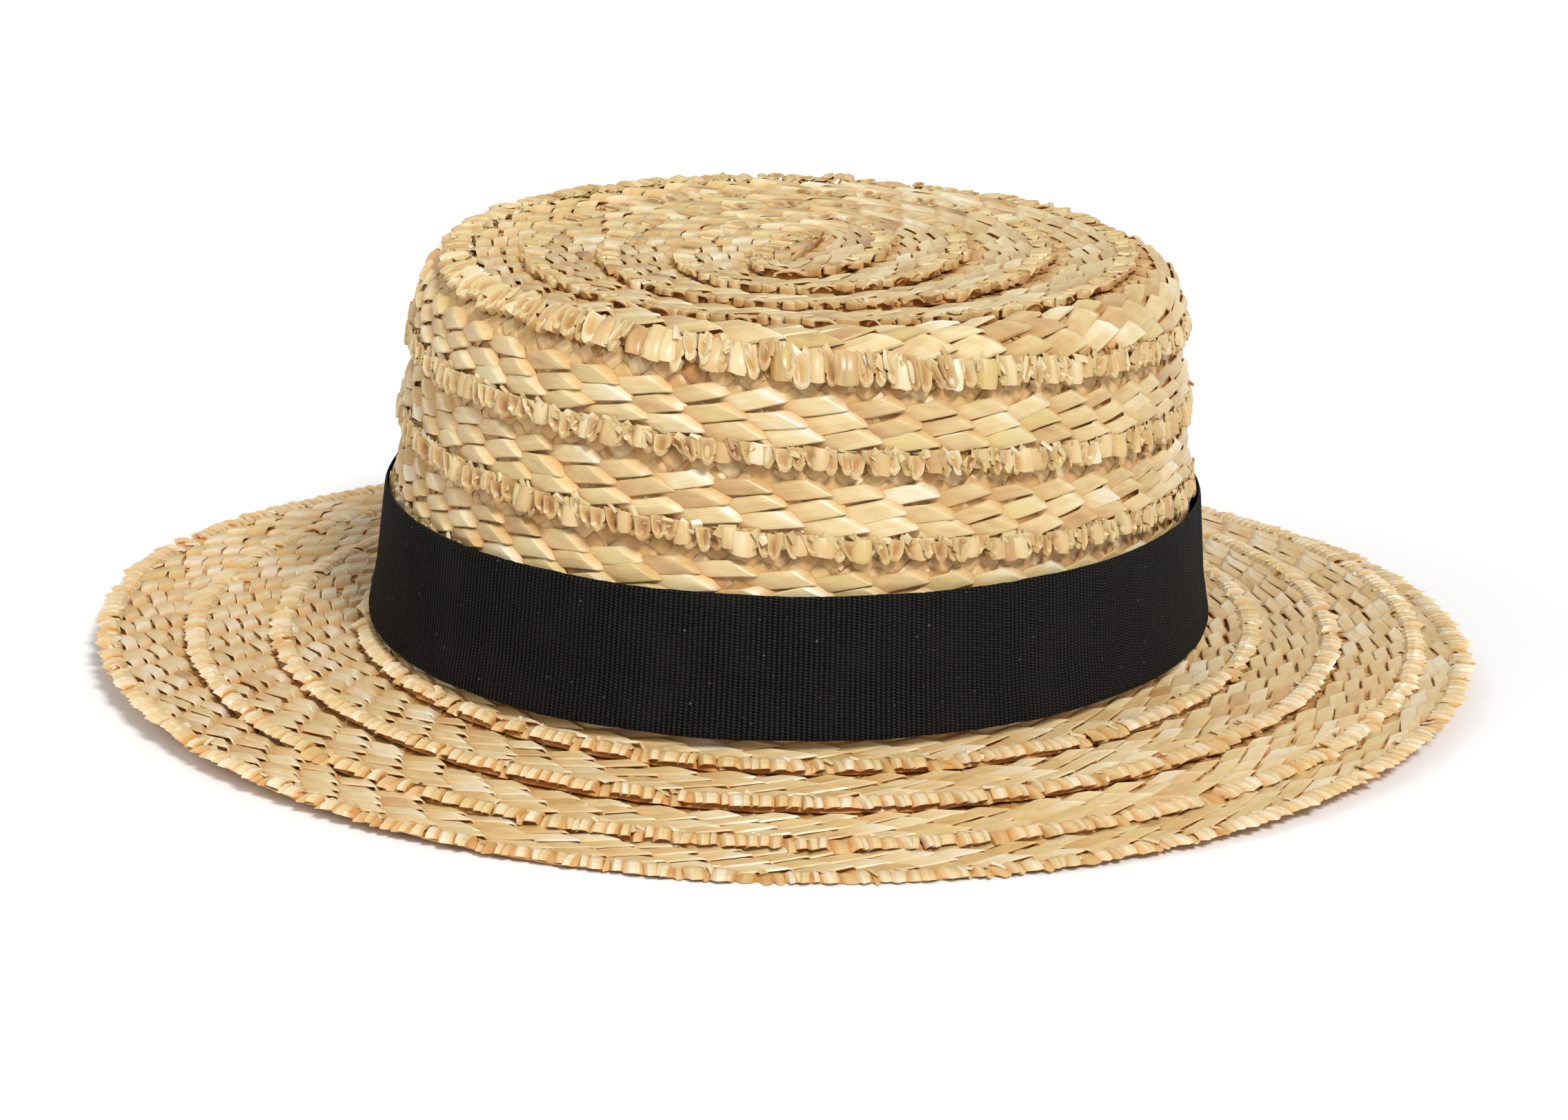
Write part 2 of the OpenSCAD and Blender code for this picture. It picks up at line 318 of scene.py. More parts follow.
def add_piece(mesh, material, slot, *nodes):
    """A new piece that stands for CAD nodes, riding on the hat"""
    mesh.materials.append(material)
    piece = bpy.data.objects.new(mesh.name, mesh)
    bpy.context.collection.objects.link(piece)
    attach(piece, "root")
    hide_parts(*nodes)
    return piece


# The straw plait

# Every straw is flattened to about this, and the ruffle's folds are thinner.
STRAW_THICKNESS = 0.28
FOLD_THICKNESS = 0.2
# The squares woven under and over each other, half their sides long
SQUARE_LONG_HALF = 2.2
SQUARE_SHORT_HALF = 1.75
# The layer behind the straws
BACKING_LEVEL = 0.35
BACKING_THICKNESS = 0.3
# Lines of long straws cross the plait between the squares and the ruffle. Only the brim shows
# the first.
LONG_LINES = [6.4, 9.6, 12.8, 15.9]
LONG_SHIFT = 3.3
LONG_LENGTH = 12.8
LONG_WIDTH = 3.5
LONG_RISE = math.radians(13)
LONG_END = math.radians(44)
# Each rises from under the straw on its left. At its right end, past 1, it folds down.
LONG_ALONG = np.array([0, 0.1, 0.3, 0.55, 0.8, 0.98, 1.02, 1.16])
LONG_LIFT = np.array([-0.8, -0.45, 0.05, 0.45, 0.8, 1.08, 1.0, -0.45])
LONG_FOLD_START = 0.72
LONG_FOLD_SLANT = 0.2
LONG_ACROSS = np.array([0, 0.07, 0.45, 0.93, 1])
LONG_ROUND = np.array([-0.22, 0.08, 0.3, 0.1, -0.3])
# Painted highlight at each straw's fold, and painted shade where it comes up from underneath.
LONG_PAINTED_LIGHT = np.array([-0.16, -0.12, -0.05, 0, 0.04, 0.16, 0.2, 0.1])

# On the tip and the crown the ruffle is loops of straw. Most are cups, each a shell with a
# rolled rim and a hollow to one side, and some are arches. Small folds fill in between.
RUFFLE_START = 17.6
CUPS = 4
CUP_WIDTH = 2.8
CUP_LENGTH = 4.3
CUP_ACROSS = np.array([-1, -0.8, -0.52, -0.15, 0.25, 0.6, 0.84, 1])
CUP_WALL = np.array([0.3, 1, 0.4, -0.15, 0, 0.45, 0.9, 0.3])
# Painted shade across each cup, deepest in its hollow
CUP_HOLLOW_SHADE = np.array([0, 0, 0.75, 1, 0.8, 0.35, 0, 0])
CUP_ALONG = np.array([0, 0.35, 0.72, 0.91, 1, 1.02])
CUP_LIP = np.array([0.75, 0.1, 0, 0.8, 0.7, -1.1])
ARCH_WIDTH = 3.9
ARCH_LENGTH = 4.3
ARCH_ACROSS = np.array([-1, -0.86, -0.5, 0, 0.5, 0.86, 1])
ARCH_ALONG = np.array([0, 0.3, 0.7, 0.93, 1])
FOLDS = 5
PLEATED_FOLDS = 2
# On the brim the ruffle is pressed into a strip of knife pleats. Some are sunk into hollows.
PLEATS = 5
PLEAT_START = 17.0
PLEAT_LENGTH = 4.2
PLEAT_ALONG = np.array([0, 0.2, 0.5, 0.82, 1])
PLEAT_LIFT = np.array([0.75, 1.5, 1.55, 1.1, 0.45])
PLEAT_ACROSS = np.array([0, 0.4, 0.8, 0.95])
PLEAT_RISE = np.array([-0.45, 0.28, 0.2, -0.1])
PLEAT_REACH = np.array([-0.65, 0.55, 0.1, -0.45])
# Painted highlight and shade on each pleat's facets, with painted orange glow in its folds
PLEAT_PAINTED_LIGHT = np.array([-0.08, 0.14, 0.0, -0.22])
PLEAT_SHADE_GLOW = np.array([0.4, 0, 0.08, 0.5])
PLEAT_SUNK = 0.95
# Painted shade and glow on the pleats sunk into hollows
SUNK_SHADE = 0.2
SUNK_SHADE_GLOW = 0.2


def repeats(turn):
    """Where each repeat of the braid starts along one turn"""
    start, end = np.interp([turn, turn + 1], TABLE_TURNS, TABLE_LENGTHS)
    return np.arange(math.ceil(start / REPEAT), math.ceil(end / REPEAT)) * REPEAT


def tones(n, rng):
    """A shade for each straw: most are alike, and a few are dark"""
    tone = np.clip(rng.normal(0.6, 0.13, n), 0.3, 0.95)
    return column(np.where(rng.uniform(0, 1, n) < 0.006, rng.uniform(0.16, 0.26, n), tone))


def column(values):
    return np.reshape(values, (-1, 1, 1))


def add_long_straws(straws, starts, line, relief, rng):
    n = len(starts)
    length = column(LONG_LENGTH + rng.normal(0, 0.4, n))
    width = column(LONG_WIDTH + rng.normal(0, 0.25, n))
    rise = column(LONG_RISE + rng.normal(0, 0.045, n))
    end = column(LONG_END + rng.normal(0, 0.08, n))
    b = LONG_ACROSS[None, None, :]
    fold = LONG_FOLD_START + LONG_FOLD_SLANT * b + column(rng.normal(0, 0.04, n))
    a = LONG_ALONG[None, :, None]
    a = np.where(a <= 1, a * fold, fold + (a - 1) / (LONG_ALONG[-1] - 1) * (1.02 - fold))
    narrow = 1 - 0.3 * np.clip(1 - a * 4, 0, 1)
    across = (b - 0.5) * width * narrow / np.sin(rise + end)
    middle = column(starts + REPEAT / 2 + LONG_SHIFT * line + rng.normal(0, 0.3, n))
    x = middle + (a - 0.5) * length * np.cos(rise) + across * np.cos(end)
    sway = column(rng.normal(0, 0.22, n))
    v = LONG_LINES[line] + sway - (a - 0.5) * length * np.sin(rise) + across * np.sin(end)
    v = v + column(rng.normal(0, 0.2, n)) * np.sin(a * math.pi)
    lift = LONG_LIFT[None, :, None] * column(rng.uniform(0.75, 1.3, n))
    roll = (b - 0.5) * column(rng.normal(0.2, 0.22, n)) * np.minimum(a * 3, 1)
    round_ = LONG_ROUND[None, None, :] * column(rng.uniform(0.7, 1.4, n))
    crease = column(rng.uniform(0, 1, n) < 0.3) * np.exp(-((b - 0.45) / 0.15) ** 2)
    h = 0.85 + (lift + roll + round_ - 0.2 * crease) * relief
    grid = np.stack(np.broadcast_arrays(x, v, h), axis=-1)
    # Painted shade: orange glow where the straw dips under its neighbour and along its edges
    shade_glow = np.clip(0.4 - LONG_LIFT[:, None] - LONG_ROUND[None, :] * 0.5, 0, 1) * 0.8
    straws.add(grid, STRAW_THICKNESS, tones(n, rng) + LONG_PAINTED_LIGHT[:, None], shade_glow,
               (LONG_ALONG * LONG_LENGTH, LONG_ACROSS * LONG_WIDTH), rng)


def add_squares(straws, starts, middles, height, underside, rng):
    """Rows of straw squares woven at 45 degrees. middles is each one's place in the repeat."""
    side = np.array([-1, 0, 1]) if underside else np.array([-1, -0.55, 0.55, 1])
    round_ = 0.1 - 0.38 * side ** 4
    for number, (along, across) in enumerate(middles):
        n = len(starts)
        lean = math.pi / 4 * (1 if number % 2 else -1)
        turn = column(lean + rng.normal(0, 0.07, n))
        long_half = column(SQUARE_LONG_HALF + rng.normal(0, 0.12, n))
        short_half = column(SQUARE_SHORT_HALF + rng.normal(0, 0.08, n))
        a = side[None, :, None] * long_half
        b = side[None, None, :] * short_half
        x = column(starts + along + rng.normal(0, 0.15, n)) + a * np.cos(turn) - b * np.sin(turn)
        v = across + column(rng.normal(0, 0.15, n)) + a * np.sin(turn) + b * np.cos(turn)
        v = np.clip(v, 0.2, PLAIT_WIDTH - 2)
        bulge = round_[None, :, None] + round_[None, None, :]
        tilt = a * column(rng.normal(0, 0.05, n)) + 0.12 * (-1) ** number
        h = bulge + tilt
        h = height - h if underside else height + h
        grid = np.stack(np.broadcast_arrays(x, v, h), axis=-1)
        if underside:
            grid = grid[:, ::-1]
        # Painted shade: squares are a little darker and get painted orange glow, lying under other
        # straws
        shade_glow = 0.3 if underside else 0.4
        straws.add(grid, STRAW_THICKNESS, tones(n, rng) * 0.95, shade_glow,
                   (side * SQUARE_LONG_HALF, side * SQUARE_SHORT_HALF), rng)


def add_cups(straws, starts, cup, raised, lowest, rng):
    """The ruffle's loops, whose rims stand up round a hollow. raised scales their heights, and
    nothing reaches below lowest."""
    n = len(starts)
    p = CUP_ACROSS[None, None, :]
    f = CUP_ALONG[None, :, None]
    width = column(CUP_WIDTH * rng.uniform(0.8, 1.25, n))
    length = column(CUP_LENGTH * rng.uniform(0.82, 1.12, n))
    middle = column(starts + cup_place(cup) + rng.normal(0, 0.2, n))
    skew = column(rng.normal(0.3, 0.7, n))
    x = middle + p * width / 2 * (1 - 0.26 * f ** 3) + skew * (f - 0.5)
    start = RUFFLE_START + scallop(cup) * 0.8 + column(rng.normal(0, 0.3, n))
    v = start + length * f * (1 - 0.34 * np.abs(p) ** 2.6 * f)
    wall = CUP_WALL[None, None, :] * (1 - 0.35 * f ** 4)
    lip = CUP_LIP[None, :, None] * column(rng.uniform(0.8, 1.2, n))
    skirt = lip + p * column(rng.normal(0, 0.5, n))
    rim = np.where(f > 1, skirt, np.maximum(wall, lip))
    h = (0.8 + column(rng.normal(0.05, 0.25, n)) + rim * column(rng.uniform(0.9, 1.45, n))
         + p * column(rng.normal(-0.1, 0.3, n)))
    grid = np.stack(np.broadcast_arrays(x, v, h * raised), axis=-1)
    grid = grid + rng.normal(0, 0.04, grid.shape)
    grid[..., 2] = np.maximum(grid[..., 2], lowest)
    # Painted shade: darker and warmer in each cup's hollow, and paler elsewhere
    hollow = CUP_HOLLOW_SHADE[None, None, :] * np.clip(1 - CUP_LIP, 0, 1)[None, :, None]
    straws.add(grid, FOLD_THICKNESS, tones(n, rng) + 0.12 - 0.55 * hollow, 0.05 + 0.35 * hollow,
               (CUP_ALONG * CUP_LENGTH, CUP_ACROSS * CUP_WIDTH / 2), rng, soft=True)


def cup_place(cup):
    return REPEAT * (cup + 0.65) / (CUPS + 0.55)


def scallop(cup):
    """How much further out this cup of a cluster reaches"""
    return 1.1 * math.sin(math.pi * (cup + 0.8) / (CUPS + 0.5)) - 0.85


def add_arches(straws, starts, place, reach, raised, lowest, rng):
    """A hollow fold that is open at the plait's edge, with its feet on the plait"""
    n = len(starts)
    p = ARCH_ACROSS[None, None, :]
    f = ARCH_ALONG[None, :, None]
    width = column(ARCH_WIDTH * rng.uniform(0.8, 1.3, n))
    length = column(ARCH_LENGTH * rng.uniform(0.85, 1.1, n))
    x = column(starts + place + rng.normal(0, 0.2, n)) + p * width / 2
    x = x + column(rng.normal(0, 0.4, n)) * f
    v = RUFFLE_START + reach + column(rng.normal(0.1, 0.2, n)) + length * f * (1 - 0.06 * p ** 2)
    rise = column(rng.uniform(1.2, 2.0, n)) * (0.7 + 0.9 * f - 0.85 * f ** 2)
    ridge = column(rng.uniform(0, 0.4, n)) * (1 - np.abs(p))
    h = 0.3 + rise * (1 - np.abs(p) ** 3.4) + ridge
    h = h - column(rng.uniform(0.2, 0.9, n)) * np.abs(p) ** 3 * f ** 2
    grid = np.stack(np.broadcast_arrays(x, v, h * raised), axis=-1)
    grid = grid + rng.normal(0, 0.06, grid.shape)
    grid[..., 2] = np.maximum(grid[..., 2], lowest)
    # Painted shade: warmer towards the arch's feet, where it meets the plait
    straws.add(grid, STRAW_THICKNESS * 1.2, tones(n, rng) + 0.08, 0.05 + 0.3 * np.abs(p) ** 3,
               (ARCH_ALONG * ARCH_LENGTH, ARCH_ACROSS * ARCH_WIDTH / 2), rng, soft=True)


def add_folds(straws, starts, raised, rng):
    """Small creased facets, slanting down to the right, where the ruffle's loops begin"""
    n = len(starts)
    turn = column(rng.normal(0.6, 0.35, n))
    half_long = column(rng.uniform(0.9, 1.7, n))
    half_wide = column(rng.uniform(0.45, 0.85, n))
    side = np.array([-1, 0, 1])
    a = side[None, :, None] * half_long
    b = side[None, None, :] * half_wide
    x = column(starts + rng.uniform(0, REPEAT, n)) + a * np.cos(turn) - b * np.sin(turn)
    v = column(rng.uniform(17.2, 18.9, n)) + a * np.sin(turn) + b * np.cos(turn)
    ridge = (1 - np.abs(side))[None, None, :] * column(rng.uniform(0.15, 0.45, n))
    h = (column(rng.uniform(1.1, 1.7, n)) + ridge + a * column(rng.normal(-0.15, 0.25, n))
         + b * column(rng.normal(0.1, 0.35, n)))
    grid = np.stack(np.broadcast_arrays(x, v, h * raised), axis=-1)
    straws.add(grid, FOLD_THICKNESS * 0.6, tones(n, rng) + 0.15, 0.05, (side, side * 0.5), rng)


def add_pleats(straws, starts, open_share, lowest, rng):
    """A strip of straw in knife pleats, one strip to a repeat, with a zigzag outer edge.
    open_share of the pleats are sunk into hollows, and nothing reaches below lowest."""
    n = len(starts)
    each = (n, PLEATS, 1)
    sunk = rng.uniform(0, 1, each) < open_share
    widths = rng.uniform(0.45, 1.5, each)
    widths = widths / widths.sum(axis=1, keepdims=True) * (REPEAT + 0.4)
    place = np.cumsum(widths, axis=1) - widths + widths * PLEAT_ACROSS
    rise = PLEAT_RISE * rng.uniform(0.6, 1.5, each) - PLEAT_SUNK * sunk
    reach = PLEAT_REACH * rng.uniform(0.5, 1.8, each) + rng.normal(0, 0.3, each)
    lean = rng.normal(0.35, 0.45, each) + np.zeros_like(PLEAT_ACROSS)
    place, rise, reach, lean = (part.reshape(n, 1, -1) for part in (place, rise, reach, lean))
    f = PLEAT_ALONG[None, :, None]
    x = column(starts) + place + lean * f
    v = PLEAT_START + column(rng.normal(0, 0.12, n)) + f * (PLEAT_LENGTH + reach)
    lift = PLEAT_LIFT[None, :, None] * column(rng.uniform(0.9, 1.15, n))
    h = lift + rise * np.clip(f * 4, 0.2, 1)
    grid = np.stack(np.broadcast_arrays(x, v, h), axis=-1) + rng.normal(0, 0.05, (n, 1, 1, 3))
    grid[..., 2] = np.maximum(grid[..., 2], lowest)
    # Painted light and shade by facet, and more painted shade on sunk pleats
    tone = rng.normal(0.66, 0.1, each) + PLEAT_PAINTED_LIGHT - SUNK_SHADE * sunk
    shade_glow = PLEAT_SHADE_GLOW + SUNK_SHADE_GLOW * sunk
    columns = np.arange(PLEATS * len(PLEAT_ACROSS))
    straws.add(grid, FOLD_THICKNESS, tone.reshape(n, 1, -1), shade_glow.reshape(n, 1, -1),
               (PLEAT_ALONG * PLEAT_LENGTH, columns * REPEAT / len(columns)), rng)


def add_ruffle(straws, starts, worked, rng):
    """The plait's outer edge: clusters of loops, or pleats. worked is a row of the styles."""
    open_share, raised, lowest = worked["open_share"], worked["raised"], worked["lowest"]
    if worked["pleated"]:
        add_pleats(straws, starts, open_share, lowest, rng)
        add_folds(straws, np.repeat(starts, PLEATED_FOLDS), raised, rng)
        return
    for cup in range(CUPS):
        is_open = rng.uniform(0, 1, len(starts)) < open_share
        add_cups(straws, starts[~is_open], cup, raised, lowest, rng)
        add_arches(straws, starts[is_open], cup_place(cup), scallop(cup) * 0.7, raised, lowest,
                   rng)
    add_arches(straws, starts, 0, -0.3, raised, lowest, rng)
    add_folds(straws, np.repeat(starts, FOLDS), raised, rng)


def add_backing(straws, starts, lowest, rng):
    """The inner layer of the braid, under the straws that show. It turns down inside the
    ruffle, to meet the next turn."""
    n = len(starts)
    a = np.linspace(0, REPEAT + 0.3, 4)
    across = np.array([0.3, 5, 10, 15, PLAIT_WIDTH - 3.4, PLAIT_WIDTH - 2.4])
    height = np.append(np.full(len(across) - 1, BACKING_LEVEL), lowest)
    x = column(starts) + a[None, :, None]
    v = across[None, None, :] + rng.normal(0, 0.25, (n, len(a), len(across)))
    grid = np.stack(np.broadcast_arrays(x, v, height), axis=-1)
    # Painted shade: the backing is darker and painted orange, lying in shade behind the straws
    straws.add(grid, BACKING_THICKNESS, 0.45, 0.7, (a, across), rng)


UPPER_LEVEL = 0.75
UPPER_SQUARES = [(2.7, 6.2), (8.2, 6.2), (0, 8.7), (5.5, 8.7)]
UNDER_LEVEL = -0.2
UNDER_SQUARES = [(x + 2.75 * (row % 2), 1.8 + 3.1 * row)
                 for row in range(6) for x in (0.3, 5.8)]


# How each part of the plait is worked. shade makes its straw paler, as painted light and shade:
# the brim, facing up to the light, is paler, and the crown and the tip darker. glow adds to the
# orange glow painted into the straw's shade. relief scales the long straws' heights, and raised
# those of the ruffle. The ruffle is pleats or loops, open_share of them are hollow, and it
# reaches no lower than lowest.
TIP = {"shade": -0.1, "glow": 0.02, "relief": 0.6,
       "pleated": False, "open_share": 0.12, "raised": 0.55, "lowest": -0.9}
CROWN = {"shade": -0.08, "glow": 0.05, "relief": 1.0,
         "pleated": False, "open_share": 0.1, "raised": 1.0, "lowest": -0.6}
BRIM = {"shade": 0.06, "glow": 0.22, "relief": 0.75,
        "pleated": True, "open_share": 0.14, "raised": 0.95, "lowest": -0.7}
HEM = {**BRIM, "open_share": 0.26, "lowest": 0.25}


def style(turn):
    if turn < FIRST_CROWN_TURN:
        return TIP
    if turn < FIRST_BRIM_TURN:
        return CROWN
    return BRIM if turn < LAST_TURN else HEM


def make_turn(turn, name, material):
    """One turn of the plait, from under the turn before it to its own ruffle"""
    rng = np.random.default_rng(100 + turn)
    starts = repeats(turn)
    worked = style(turn)
    straws = StrawMesh(worked["shade"], worked["glow"])
    add_backing(straws, starts, worked["lowest"], rng)
    add_squares(straws, starts, UPPER_SQUARES, UPPER_LEVEL, False, rng)
    add_squares(straws, starts, UNDER_SQUARES, UNDER_LEVEL, True, rng)
    for line in range(0 if turn >= FIRST_BRIM_TURN else 1, len(LONG_LINES)):
        add_long_straws(straws, starts, line, worked["relief"], rng)
    add_ruffle(straws, starts, worked, rng)
    return add_piece(straws.build(name + "_straw"), material, "straw", name)


# Ribbons

RIBBON_THICKNESS = 0.8
RIBBON_LAP_WIDTH = 18.0
LAP_CLEARANCE = 0.4
SWEATBAND_BOTTOM = 5.5
SWEATBAND_HEIGHT = 27.0
SWEATBAND_GAP = -0.5 - RIBBON_THICKNESS
RIB_PITCH = 1.02
RIB_HEIGHT = 0.17
RIB_COLUMNS = 3
RIBBON_ROWS = 38
EDGE_WAVE = 0.28
SELVEDGE_WIDTH = 1.1
# Rows of the face where a ribbon's plain back has its own points
BACK_ROWS = [RIBBON_ROWS - 2, RIBBON_ROWS // 3, 1]


def on_oval(out, z, angle):
    return np.stack(np.broadcast_arrays((CROWN_HALF_WIDTH + out) * np.cos(angle),
                    OVAL_CENTRE_Y + (CROWN_HALF_LENGTH + out) * np.sin(angle), z), axis=-1)


def side_out(z):
    return (BASE_Z - z) * math.tan(SIDE_LEAN)


def even_angles(out, start, end, count):
    """Angles from start to end that are evenly spaced along the oval, and its length"""
    fine = np.linspace(start, end, 4001)
    points = on_oval(out, 0.0, fine)
    lengths = np.concatenate([[0], np.cumsum(np.linalg.norm(np.diff(points, axis=0), axis=1))])
    return np.interp(np.linspace(0, lengths[-1], count), lengths, fine), lengths[-1]


def ribbon_surfaces(bottom, height, gap, flare, start, end, facing, rng):
    """The ribbed face and the plain back of a ribbon, each (around, up, 3), and its length"""
    whole = end - start > 6
    length = even_angles(gap, start, end, 2)[1]
    ribs = round(length / RIB_PITCH)
    columns = ribs * RIB_COLUMNS + (0 if whole else 1)
    angles = even_angles(gap, start, end, ribs * RIB_COLUMNS + 1)[0][:columns, None]
    share = np.linspace(0, 1, RIBBON_ROWS)[None, :]
    rib = np.arange(columns)[:, None] // RIB_COLUMNS
    across = (np.arange(columns)[:, None] % RIB_COLUMNS) / RIB_COLUMNS
    wander = rng.normal(0, 1, ribs + 1)
    edge_wave = np.convolve(wander, np.ones(9) / 9, "same")[rib] * EDGE_WAVE
    z = bottom + height * share + edge_wave * (2 * share - 1) * np.abs(2 * share - 1) ** 3
    middle = side_out(z) + gap + RIBBON_THICKNESS / 2
    middle = middle + flare * np.clip(1 - (z - bottom) / (height / 3), 0, 1)
    relief = RIB_HEIGHT * np.sin(math.pi * across) ** 0.8
    relief = relief * rng.uniform(0.75, 1.1, ribs + 1)[rib]
    selvedge = np.clip(np.minimum(share, 1 - share) * height / SELVEDGE_WIDTH, 0, 1) ** 0.5
    half = RIBBON_THICKNESS / 2 - RIB_HEIGHT
    face = on_oval(middle + facing * (half * selvedge + relief * selvedge), z, angles)
    back = on_oval(middle - facing * half * selvedge, z, angles)
    return face, back, length


def ring_mesh(name, face, back):
    """A closed ring: its ribbed face, and a plain back that bends once, where the flare starts"""
    loop = np.concatenate([face, back[:, BACK_ROWS]], axis=1)
    columns, rows = loop.shape[:2]
    index = np.arange(columns * rows).reshape(columns, rows)
    after, up = np.roll(index, -1, axis=0), np.roll(index, -1, axis=1)
    quads = np.stack([index, after, np.roll(after, -1, axis=1), up], -1).reshape(-1, 4)
    return mesh_from(name, loop.reshape(-1, 3) * MM, quads)


def strip_mesh(name, face, back):
    quads = slab_faces(*face.shape[:2])[:, ::-1]
    points = np.concatenate([face.reshape(-1, 3), back.reshape(-1, 3)])
    return mesh_from(name, points * MM, quads)


def add_flat_uv(mesh, face, length, height, extra_rows):
    columns = face.shape[0]
    rows = face.shape[1] + extra_rows
    along = np.linspace(0, length, columns)[:, None] + np.zeros((1, rows))
    up = np.zeros((columns, 1)) + np.linspace(0, height, rows)[None, :]
    coords = np.stack([along, up], axis=-1).reshape(-1, 2)
    copies = len(mesh.vertices) // len(coords)
    add_uv(mesh, np.tile(coords, (copies, 1)) * MM)


def make_ribbon(name, bottom, height, gap, flare, facing, material, slot):
    """A ribbon right round the crown, with its ribbed face turned out, or in at -1"""
    rng = np.random.default_rng(len(name))
    face, back, length = ribbon_surfaces(bottom, height, gap, flare, 0, 2 * math.pi, facing, rng)
    if facing < 0:
        face, back = face[::-1], back[::-1]
    mesh = ring_mesh(name + "_ribbon", face, back)
    add_flat_uv(mesh, face, length, height, len(BACK_ROWS))
    shade_smooth(mesh)
    piece = add_piece(mesh, material, slot, name)


def make_ribbon_lap(name, bottom, height, gap, flare, facing, material, slot):
    """The end of a ribbon, folded under and laid over the ribbon's start at the back"""
    rng = np.random.default_rng(len(name))
    half = RIBBON_LAP_WIDTH / 2 / CROWN_HALF_WIDTH
    face, back, length = ribbon_surfaces(bottom, height, gap, flare, BACK_ANGLE - half,
                                         BACK_ANGLE + half, facing, rng)
    if facing < 0:
        face, back = face[::-1], back[::-1]
    mesh = strip_mesh(name + "_ribbon", face, back)
    add_flat_uv(mesh, face, length, height, 0)
    shade_smooth(mesh)
    piece = add_piece(mesh, material, slot, name)


# Threads and label

THREAD_SIDES = 6


def tube_mesh(name, paths, radius):
    """Tubes along paths, (count, points, 3) in millimetres, with closed ends"""
    count, rings = paths.shape[:2]
    ahead = np.gradient(paths, axis=1)
    ahead /= np.linalg.norm(ahead, axis=-1, keepdims=True)
    side = np.cross(ahead, [0.31, 0.23, 0.92])
    side /= np.linalg.norm(side, axis=-1, keepdims=True)
    up = np.cross(ahead, side)
    turn = np.arange(THREAD_SIDES) / THREAD_SIDES * 2 * math.pi
    size = np.full(rings, radius)
    size[[0, -1]] = radius * 0.3
    around = (side[:, :, None] * np.cos(turn)[:, None] + up[:, :, None] * np.sin(turn)[:, None])
    points = paths[:, :, None] + around * size[None, :, None, None]
    index = np.arange(rings * THREAD_SIDES).reshape(rings, THREAD_SIDES)
    after = np.roll(index, -1, axis=1)
    wall = np.stack([index[:-1], after[:-1], after[1:], index[1:]], -1).reshape(-1, 4)
    ends = [index[0, [3, 2, 1, 0]], index[0, [0, 5, 4, 3]],
            index[-1, [0, 1, 2, 3]], index[-1, [3, 4, 5, 0]]]
    quads = np.concatenate([wall, ends])
    quads = (quads[None] + (np.arange(count) * points[0].size // 3)[:, None, None]).reshape(-1, 4)
    mesh = mesh_from(name, points.reshape(-1, 3) * MM, quads)
    along = np.linspace(0, rings, rings)[None, :, None] + np.zeros((count, 1, THREAD_SIDES))
    coords = np.stack([along, np.zeros_like(along) + np.arange(THREAD_SIDES)], -1)
    add_uv(mesh, coords.reshape(-1, 2) * MM)
    shade_smooth(mesh)
    return mesh


SEAM_STITCH = 6.4
SEAM_RADIUS = 0.22
SEAM_INSET = 4.8
SEAM_TOP = 0.9
SEAM_BOTTOM = -2.6


def make_seam(name, first_turn, end_turn, material):
    """The thread that sews each turn to the next, over and under, with long stitches"""
    start, end = np.interp([first_turn, end_turn], TABLE_TURNS, TABLE_LENGTHS)
    x = np.arange(start, end, 0.8)
    wave = np.tanh(2.5 * np.cos(2 * math.pi * x / SEAM_STITCH)) / math.tanh(2.5)
    h = (SEAM_TOP + SEAM_BOTTOM) / 2 + (SEAM_TOP - SEAM_BOTTOM) / 2 * wave
    v = np.full_like(x, PLAIT_WIDTH - SEAM_INSET)
    path = lay_on_hat(np.stack([x, v, h], -1)) / MM
    path[:, 2] = np.maximum(path[:, 2], SEAM_RADIUS)
    return add_piece(tube_mesh(name + "_sewn", path[None], SEAM_RADIUS), material, "thread", name)


STITCH_RADIUS = 0.3
STITCH_DIP = 0.9
SWEATBAND_STITCH_COUNT = 40
SWEATBAND_STITCH_LENGTH = 4.6
SWEATBAND_STITCH_HEIGHT = 2.0
SWEATBAND_STITCH_CLEARANCE = 0.35
TACK_LENGTH = 5.4
TACK_INSET = 2.0
TACK_SPACING = 0.7


def make_stitches(name, out, z, angles, length, facing, material, slot):
    """Level stitches that dip into the ribbon at both ends. They face out, or in at -1."""
    share = np.linspace(-1, 1, 9)[None, :]
    angle = np.reshape(angles, (-1, 1)) + share * length / 2 / CROWN_HALF_LENGTH
    dip = np.abs(share) ** 3 * STITCH_DIP
    paths = on_oval(out - facing * dip, np.reshape(z, (-1, 1)) + 0 * share, angle)
    return add_piece(tube_mesh(name + "_sewn", paths, STITCH_RADIUS), material, slot, name)


def make_sweatband_stitches(material):
    count = SWEATBAND_STITCH_COUNT
    angles = BACK_ANGLE + (np.arange(count) + 0.5) * 2 * math.pi / count
    half_lap = RIBBON_LAP_WIDTH / 2 / CROWN_HALF_WIDTH
    turned = np.abs((angles - BACK_ANGLE + math.pi) % (2 * math.pi) - math.pi)
    angles = angles[turned > half_lap + math.pi / count]
    z = SWEATBAND_BOTTOM + SWEATBAND_STITCH_HEIGHT
    out = side_out(z) + SWEATBAND_GAP - SWEATBAND_STITCH_CLEARANCE
    make_stitches("sweatband_stitches", out, z, angles, SWEATBAND_STITCH_LENGTH, -1, material,
                  "thread")


